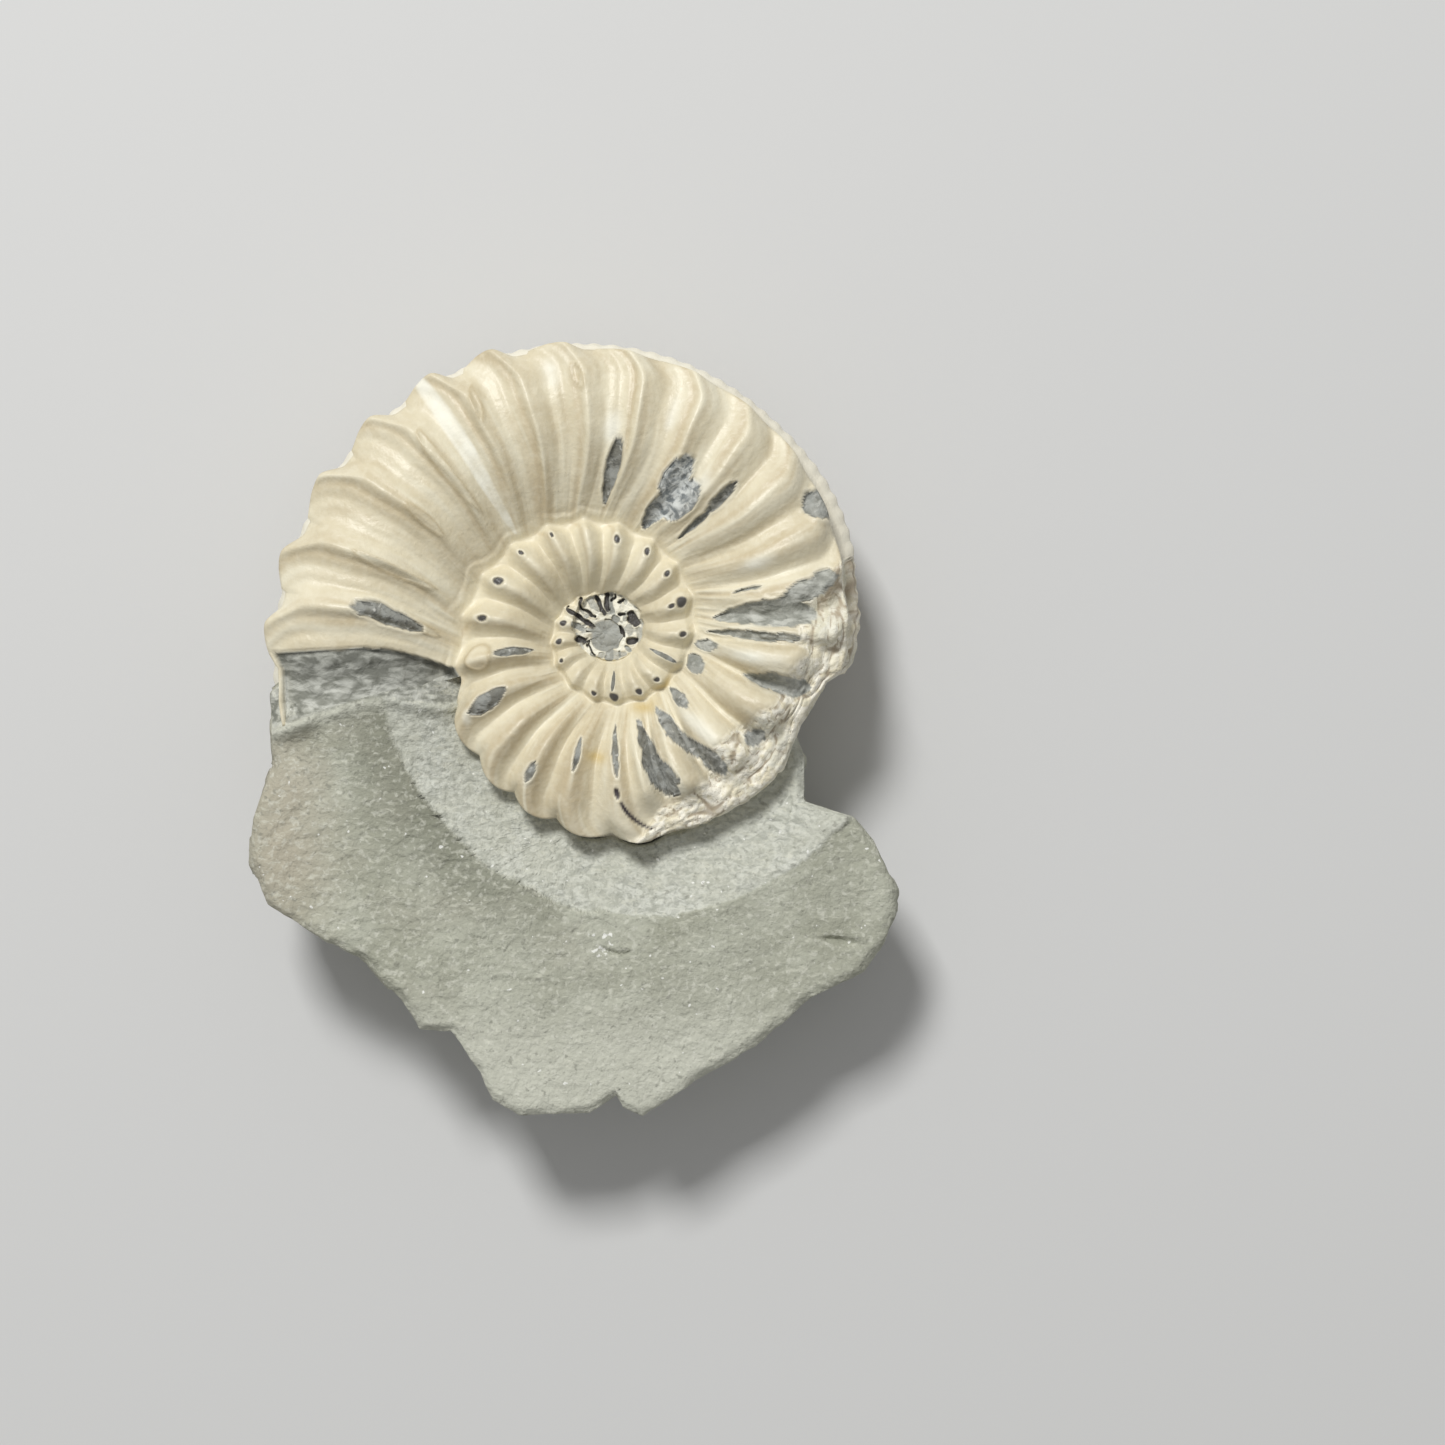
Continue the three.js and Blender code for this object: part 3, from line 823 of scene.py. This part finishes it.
def face_height(points, axis):
    """The height of the rock's upper side and its marks: bed, a painted highlight along the ridge at the
    mouth, filling, and a groove under the coil's edge with a painted shadow.
    """
    x, y = points[:, 0], points[:, 1]
    depth, past, radius = coil_place(points, axis)
    natural = natural_face(points)
    bed, on_bed = bed_face(points)
    level = natural * (1 - on_bed) + bed * on_bed
    mouth_curve = radius * np.radians(8.0 * ramp(-radius, -13.8, -9.4))
    beyond = past - mouth_curve + 0.15 * rough_noise(points, 1.5, 76)
    near_mouth = near_mouth_share(beyond, past, radius, on_bed)
    filled = ramp(-beyond, -0.1, 0.3) * ramp(past, -3, -2) * ramp(radius, 8.2, 8.8)
    ridge = 0.22 * hill(beyond, 0.2, 0.4) * near_mouth * (1 + rough_noise(points, 1.2, 70))
    bank = 0.7 * hill(beyond, 0.1, 0.75) * ramp(radius, 16.8, 18.2) * ramp(-radius, -22.5, -21.0)
    level = level + (mouth_level(radius, axis) - level) * near_mouth + ridge + bank
    behind_mouth = ramp(-past - 0.12 * rough_noise(points, 0.8, 72), 0.3, 0.6)
    under = ramp(depth, 0.9, 2.2) * np.maximum(behind_mouth, ramp(-radius, -8, -7))
    # A groove just outside the coil's lower edge; the same mask paints a near-black shadow into it.
    gap = hill(depth, -0.06, 0.15) * hill(x - 3.2, 0, 3.4) * ramp(-y, 3, 5)
    level = (level - 0.5 * gap) * (1 - under) + UNDER_COIL_HEIGHT * under
    return level, on_bed, hill(beyond, 0.25, 0.4) * near_mouth, filled, gap


def face_ring(radius, ray, share, axis):
    """One ring of points on the rock's upper side, at a share of the way out to its edge."""
    ring = [*ROCK_MIDDLE, 0.0] + ray * (radius * share * 0.985)[:, None]
    level, *kinds = face_height(ring, axis)
    edge_drop = 0.35 * ramp(radius * share, radius - 0.7, radius) ** 2
    ring[:, 2] = level - edge_drop * (1 + rough_noise(ring, 1.2, 71))
    return ring, rock_marks(ring, *kinds)


def side_ring(direction, radius, ray, step, top):
    """One ring of points down the fractured sides, from 0 at the edge of the face to 1 at the base."""
    bulge = np.interp(step, [0, 0.06, 0.3, 0.65, 1.0], [0.985, 1.0, 0.99, 0.95, 0.86])
    slant = 0.05 * np.sin(5 * step + 3 * direction) * ramp(step, 0, 0.3)
    lower = np.minimum(radius, np.interp(direction + slant, direction, radius, period=2 * np.pi))
    wall = [*ROCK_MIDDLE, 0.0] + ray * (lower * bulge)[:, None]
    wall[:, 2] = top * (1 - step)
    beds = lattice_noise(wall * [0.12, 0.12, 1.5], 1.0, 73)
    flakes = chips(direction * 14, 1.6 * wall[:, 2], 1.9, 75)
    rough = 0.32 * rough_noise(wall, 2.4, 74) + 0.14 * beds + 0.3 * flakes
    held = ramp(step, 0, 0.10) * ramp(-step, -1.0, -0.93)
    wall[:, :2] += ray[:, :2] * (np.minimum(0, rough - 0.3) * held)[:, None]
    return wall, rock_marks(wall, 0.0, 0.0, 0.0, 0.0)


def rock(axis):
    """The block of mudstone: a rough natural face, fractured sides and a flat base."""
    direction = np.linspace(-np.pi, np.pi, ROCK_COLUMNS, endpoint=False)
    radius = outline_radius(direction)
    ray = np.column_stack([np.cos(direction), np.sin(direction), np.zeros(ROCK_COLUMNS)])
    radius = radius + 0.10 * rough_noise(ray * radius[:, None], 1.4, 60)
    skin = Skin(ROCK_MARKS)
    shares = np.linspace(0.01, 1, FACE_RINGS) ** 0.85
    rows = [skin.add(*face_ring(radius, ray, share, axis)) for share in shares]
    top = skin.points[-1][:, 2]
    for step in np.linspace(0, 1, SIDE_RINGS + 1)[1:]:
        rows.append(skin.add(*side_ring(direction, radius, ray, step, top)))
    hubs = np.array([[*ROCK_MIDDLE, skin.points[0][:, 2].mean()], [*ROCK_MIDDLE, 0.0]])
    face_hub, base_hub = skin.add(hubs, {})
    skin.faces.append(patch_faces(np.column_stack([rows, np.array(rows)[:, 0]])))
    skin.faces.append(fan_faces(face_hub, rows[0]))
    skin.faces.append(fan_faces(base_hub, rows[-1], flip=True))
    return skin.object("mudstone_block")


def rock_marks(points, on_bed, ridge, filled, gap):
    """One ring's masks: its bed and filling, the painted shadow in the groove under the coil's edge, and
    the tones of the natural face, with painted shade by the bed's left rim and the pit and a painted
    highlight along the ridge at the mouth.
    """
    x, y = points[:, 0], points[:, 1]
    mottle = rough_noise(points, 2.6, 81)
    near_pit = hill(np.hypot(x - PIT_CENTRE[0] - 0.2, y - PIT_CENTRE[1]), 0, 0.9)
    # Painted shade: darker just outside the bed's rim on the left and round the pit; the mottle is the
    # stone's own tone.
    dark = 0.9 * hill(outside_bed(points), 0.4, 2.4) * ramp(-x, -1, 7) + 0.5 * near_pit
    brown = hill(np.hypot((x + 17) / 3.0, (y + 6) / 6.5), 0, 1) + 0.25 * mottle * ramp(-x, -9, 3)
    # Paler towards the bottom edge, and a painted highlight along the ridge at the mouth.
    pale = 0.8 * ramp(-y, 13, 20) + ridge
    off_bed = 1 - on_bed * (1 - filled)
    return {
        "bed": on_bed,
        "filled": filled,
        "gap": gap,
        "dark": np.clip(dark + 0.35 * mottle, 0, 1) * off_bed,
        "brown": np.clip(brown, 0, 1) * off_bed,
        "pale": np.clip(pale + 0.3 * np.maximum(mottle, 0), 0, 1) * off_bed,
        "glint": hill(np.hypot(x - GLINT_CENTRE[0], y - GLINT_CENTRE[1]), 0, 2.0),
    }


# ---- materials

class Paint:
    """Short calls for the nodes of one material."""

    def __init__(self, name):
        self.material = bpy.data.materials.new(name)
        self.material.use_nodes = True
        self.nodes = self.material.node_tree.nodes
        self.links = self.material.node_tree.links
        self.shader = self.nodes["Principled BSDF"]

    def node(self, kind, inputs=None, **settings):
        made = self.nodes.new(kind)
        for key, value in settings.items():
            setattr(made, key, value)
        for key, value in (inputs or {}).items():
            self.put(made.inputs[key], value)
        return made

    def put(self, socket, value):
        if isinstance(value, bpy.types.NodeSocket):
            self.links.new(value, socket)
        elif isinstance(value, tuple) and len(value) == 3 and socket.type == "RGBA":
            socket.default_value = (*value, 1.0)
        else:
            socket.default_value = value

    def mark(self, name):
        return self.node("ShaderNodeAttribute", attribute_name=name).outputs["Fac"]

    def noise(self, scale, detail=4.0, distortion=0.0, stretch=(1, 1, 1), seed=0.0):
        place = self.node("ShaderNodeTexCoord").outputs["Object"]
        shift = {"Vector": place, "Scale": stretch, "Location": (seed, 0, 0)}
        moved = self.node("ShaderNodeMapping", shift)
        inputs = {"Vector": moved.outputs[0], "Scale": scale, "Detail": detail, "Distortion": distortion}
        return self.node("ShaderNodeTexNoise", inputs).outputs["Fac"]

    def ramp(self, value, low, high, start=0.0, end=1.0):
        inputs = {"Value": value, "From Min": low, "From Max": high, "To Min": start, "To Max": end}
        made = self.node("ShaderNodeMapRange", inputs, interpolation_type="SMOOTHSTEP")
        return made.outputs[0]

    def math(self, operation, first, second=0.0):
        return self.node("ShaderNodeMath", {0: first, 1: second}, operation=operation).outputs[0]

    def mix(self, factor, first, second):
        made = self.node("ShaderNodeMix", data_type="RGBA")
        self.put(made.inputs["Factor"], factor)
        self.put(made.inputs[6], first)
        self.put(made.inputs[7], second)
        return made.outputs[2]

    def lay(self, under, over, factor, strength):
        """The under colour, covered by the other as far as factor times strength says."""
        return self.mix(self.math("MULTIPLY", factor, strength), under, over)

    def bump(self, height, distance, strength=1.0, below=None):
        inputs = {"Height": height, "Distance": distance, "Strength": strength}
        made = self.node("ShaderNodeBump", inputs)
        if below is not None:
            self.put(made.inputs["Normal"], below)
        return made.outputs[0]

    def finish(self, colour, roughness, specular, normal):
        inputs = self.shader.inputs
        self.put(inputs["Base Color"], colour)
        self.put(inputs["Roughness"], roughness)
        self.put(inputs["Normal"], normal)
        inputs["Specular IOR Level"].default_value = specular
        return self.material


def stone_grey(paint):
    """The grey filling that shows through worn windows, mottled with blue-grey and with pale grains."""
    blue = paint.ramp(paint.noise(900, 4, 0.6, seed=0.3), 0.44, 0.60)
    tone = paint.mix(blue, (0.185, 0.182, 0.155), (0.295, 0.30, 0.275))
    shards = paint.ramp(paint.noise(1500, 5, 1.0, seed=0.15), 0.40, 0.60)
    tone = paint.mix(paint.mark("blue"), tone, paint.mix(shards, (0.20, 0.22, 0.225), (0.66, 0.68, 0.65)))
    grains = paint.ramp(paint.noise(2600, 3, seed=0.7), 0.58, 0.70)
    tone = paint.lay(tone, (0.60, 0.60, 0.55), grains, 0.6)
    dark = paint.ramp(paint.noise(2000, 3, 0.4, seed=0.45), 0.42, 0.32)
    return paint.lay(tone, (0.09, 0.09, 0.08), dark, 0.6)


def shell_colour(paint):
    """Sound shell: cream with tan and white streaks along the ribs, chalky bands and stains."""
    broad = paint.ramp(paint.noise(260, 5, 0.4), 0.32, 0.70)
    fine = paint.ramp(paint.noise(2200, 5, 0.3, seed=0.4), 0.40, 0.70)
    colour = paint.mix(broad, (0.63, 0.56, 0.395), (0.73, 0.67, 0.50))
    warm = paint.ramp(paint.mark("warm"), 0.0, 1.1)
    colour = paint.lay(colour, (0.53, 0.44, 0.28), warm, 0.8)
    streak = paint.mark("streak")
    colour = paint.mix(paint.ramp(streak, 0.05, 0.7, 0.0, 0.5), colour, (0.82, 0.78, 0.62))
    colour = paint.mix(paint.ramp(streak, -0.1, -0.7, 0.0, 0.45), colour, (0.50, 0.42, 0.27))
    colour = paint.lay(colour, (0.84, 0.80, 0.65), fine, 0.2)
    colour = paint.lay(colour, (0.58, 0.44, 0.18), paint.mark("yellow"), 0.8)
    colour = paint.lay(colour, (0.45, 0.36, 0.20), paint.mark("scar"), 0.55)
    chalk = paint.ramp(paint.mark("chalk"), 0.1, 0.9)
    colour = paint.mix(chalk, colour, (0.84, 0.82, 0.70))
    colour = paint.lay(colour, (0.81, 0.77, 0.62), paint.mark("rim"), 0.45)
    colour = paint.lay(colour, (0.42, 0.36, 0.24), paint.mark("seam"), 0.55)
    return paint.lay(colour, (0.80, 0.77, 0.66), paint.mark("venter"), 0.8)


def flaky_colour(paint):
    """Broken layers of shell: cream scales with thin brown cracks between them."""
    stained = paint.ramp(paint.noise(1300, 6, 1.2, seed=0.9), 0.36, 0.62)
    flaky = paint.mix(stained, (0.78, 0.72, 0.54), (0.95, 0.91, 0.78))
    greenish = paint.ramp(paint.noise(420, 3, seed=0.25), 0.48, 0.66)
    flaky = paint.lay(flaky, (0.60, 0.60, 0.50), greenish, 0.5)
    contour = paint.math("ABSOLUTE", paint.math("SUBTRACT", paint.noise(1900, 3, 0.8, seed=0.5), 0.5))
    flaky = paint.mix(paint.ramp(contour, 0.018, 0.0, 0.0, 0.45), flaky, (0.42, 0.36, 0.26))
    return paint.mix(paint.ramp(paint.mark("flake"), -0.10, -0.80, 0.0, 0.85), flaky, (0.35, 0.28, 0.19))


def filling_colour(paint, pale_share):
    """The bare stone of the last chamber: dark and streaked, paler towards its broken edge."""
    streaks = paint.ramp(paint.noise(1000, 9, 0.5, (1, 2.2, 1), 0.2), 0.38, 0.66)
    dark = paint.mix(streaks, (0.15, 0.153, 0.13), (0.40, 0.405, 0.36))
    pale = paint.mix(streaks, (0.30, 0.305, 0.26), (0.64, 0.645, 0.58))
    return paint.mix(pale_share, dark, pale)


def shell_material():
    """Cream fossil shell with chalky and tan bands, worn through to grey stone in places."""
    paint = Paint("fossil_shell")
    colour = shell_colour(paint)
    colour = paint.mix(paint.mark("crumble"), colour, flaky_colour(paint))
    bare = paint.math("MAXIMUM", paint.mark("window"), paint.mark("heart"))
    stone = paint.mix(paint.mark("pale_share"), stone_grey(paint), filling_colour(paint, 0.8))
    colour = paint.mix(bare, colour, stone)
    colour = paint.lay(colour, (0.50, 0.51, 0.46), paint.mark("heart"), 0.45)
    # The bare filling: paler towards the mouth, darker in painted shadow next to the shell's broken edge.
    colour = paint.mix(paint.mark("filling"), colour, filling_colour(paint, paint.mark("pale_share")))
    # Painted shade: holes and open slots in near black.
    colour = paint.mix(paint.mark("hole"), colour, (0.075, 0.07, 0.065))
    # Painted shade: the crack in near black.
    colour = paint.mix(paint.mark("crack"), colour, (0.05, 0.04, 0.045))
    stony = paint.math("MAXIMUM", bare, paint.math("MAXIMUM", paint.mark("filling"), paint.mark("crumble")))
    rough = paint.ramp(stony, 0, 1, 0.40, 0.80)
    rough = paint.math("MAXIMUM", rough, paint.ramp(paint.mark("chalk"), 0.1, 0.9, 0.4, 0.58))
    grain = paint.bump(paint.noise(3600, 6, seed=0.1), 0.00006, 0.5)
    coarse = paint.ramp(stony, 0, 1, 0.22, 1.0)
    pitted = paint.math("MULTIPLY", paint.noise(1100, 7, 0.5, seed=0.6), coarse)
    return paint.finish(colour, rough, 0.4, paint.bump(pitted, 0.00035, 0.8, grain))


def rock_material():
    """Dry mudstone: olive grey with a fine grain, paler where it has been scratched, with small glints."""
    paint = Paint("mudstone")
    broad = paint.ramp(paint.noise(300, 7, 0.5), 0.34, 0.68)
    colour = paint.mix(broad, (0.355, 0.36, 0.285), (0.45, 0.458, 0.375))
    # Painted shade by the bed's left rim and in the pit, mixed with the stone's own mottle.
    colour = paint.mix(paint.mark("dark"), colour, (0.235, 0.24, 0.185))
    colour = paint.mix(paint.mark("brown"), colour, (0.44, 0.405, 0.315))
    # Paler stone towards the bottom, and a painted highlight along the ridge at the mouth.
    colour = paint.mix(paint.mark("pale"), colour, (0.54, 0.545, 0.46))
    scratch = paint.ramp(paint.noise(2200, 7, 0.8, (1, 1.5, 1), 0.2), 0.36, 0.66)
    bed = paint.mix(scratch, (0.40, 0.41, 0.355), (0.62, 0.63, 0.56))
    clouds = paint.ramp(paint.noise(420, 4, 0.3, seed=0.65), 0.35, 0.65)
    bed = paint.lay(bed, (0.50, 0.505, 0.42), clouds, 0.5)
    colour = paint.mix(paint.mark("bed"), colour, bed)
    colour = paint.mix(paint.mark("filled"), colour, filling_colour(paint, 0.45))
    flecks = paint.ramp(paint.noise(1300, 4, 0.6, (1, 2.2, 1), 0.9), 0.58, 0.68)
    colour = paint.lay(colour, (0.62, 0.62, 0.52), flecks, 0.45)
    fine = paint.ramp(paint.noise(3000, 6, 0.4, seed=0.5), 0.50, 0.70)
    colour = paint.lay(colour, (0.66, 0.66, 0.57), fine, 0.5)
    dots = paint.ramp(paint.noise(2400, 1, seed=0.8), 0.75, 0.78)
    cluster = paint.math("MULTIPLY", paint.mark("glint"), paint.noise(1900, 2))
    dots = paint.math("MAXIMUM", dots, paint.ramp(cluster, 0.50, 0.56))
    colour = paint.lay(colour, (0.88, 0.88, 0.83), dots, 0.8)
    pits = paint.ramp(paint.noise(2600, 3, seed=0.35), 0.40, 0.28)
    colour = paint.lay(colour, (0.20, 0.20, 0.165), pits, 0.5)
    # Painted shadow: near black in the groove under the coil's lower edge.
    colour = paint.mix(paint.ramp(paint.mark("gap"), 0.3, 0.8), colour, (0.06, 0.055, 0.05))
    grain = paint.bump(paint.noise(4200, 6, seed=0.15), 0.00012, 0.8)
    lumps = paint.bump(paint.noise(1300, 7, 0.3, seed=0.55), 0.00024, 0.8, grain)
    return paint.finish(colour, paint.ramp(fine, 0, 1, 0.92, 0.78), 0.25, lumps)


# ---- the object in its frame

def place(piece, node, slot, material, location):
    """Puts a finished piece in the frame, in the stead of one CAD node."""
    piece.location = location
    piece.data.materials.append(material)
    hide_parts(node)
    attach(piece, "root")


def build_fossil():
    """The coil and its rock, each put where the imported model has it."""
    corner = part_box("matrix_stone")[0] / MM
    low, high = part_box("ammonite")
    middle = (low.z + high.z) / (2 * MM)
    axis = np.array([corner.x + AXIS_FROM_CORNER[0], corner.y + AXIS_FROM_CORNER[1], middle])
    place(coil(), "ammonite", "fossil_shell", shell_material(), axis * MM)
    shift = corner.y - min(y for x, y in ROCK_OUTLINE)
    block = rock(axis - [0, shift, 0])
    place(block, "matrix_stone", "mudstone", rock_material(), (0, shift * MM, 0))


# ---- floor, light and camera

def floor():
    bpy.ops.mesh.primitive_plane_add(size=3)
    plane = bpy.context.object
    plane.name = "floor"
    paint = Paint("floor")
    paint.shader.inputs["Base Color"].default_value = (0.62, 0.62, 0.61, 1)
    paint.shader.inputs["Roughness"].default_value = 0.9
    plane.data.materials.append(paint.material)


def studio():
    """A soft key from above the coil's top edge, over an even soft surrounding light."""
    data = bpy.data.lights.new("key", "AREA")
    data.size, data.energy = 0.11, 2.2
    light = bpy.data.objects.new("key", data)
    light.location = (-0.11, 0.28, 0.42)
    light.rotation_euler = (-light.location).to_track_quat("-Z", "Y").to_euler()
    bpy.context.collection.objects.link(light)
    world = bpy.data.worlds.new("studio")
    world.use_nodes = True
    surround = world.node_tree.nodes["Background"].inputs
    surround["Color"].default_value = (1, 1, 1, 1)
    surround["Strength"].default_value = 0.34
    bpy.context.scene.world = world
    bpy.context.scene.view_settings.view_transform = "Standard"


def camera():
    """Straight down on the fossil, which lies left of the middle of the picture."""
    data = bpy.data.cameras.new("camera")
    data.lens, data.sensor_width = 80, 36
    eye = bpy.data.objects.new("camera", data)
    eye.location = (8.63 * MM, 0.51 * MM, 196.7 * MM)
    bpy.context.collection.objects.link(eye)
    bpy.context.scene.camera = eye


build_fossil()
floor()
studio()
camera()
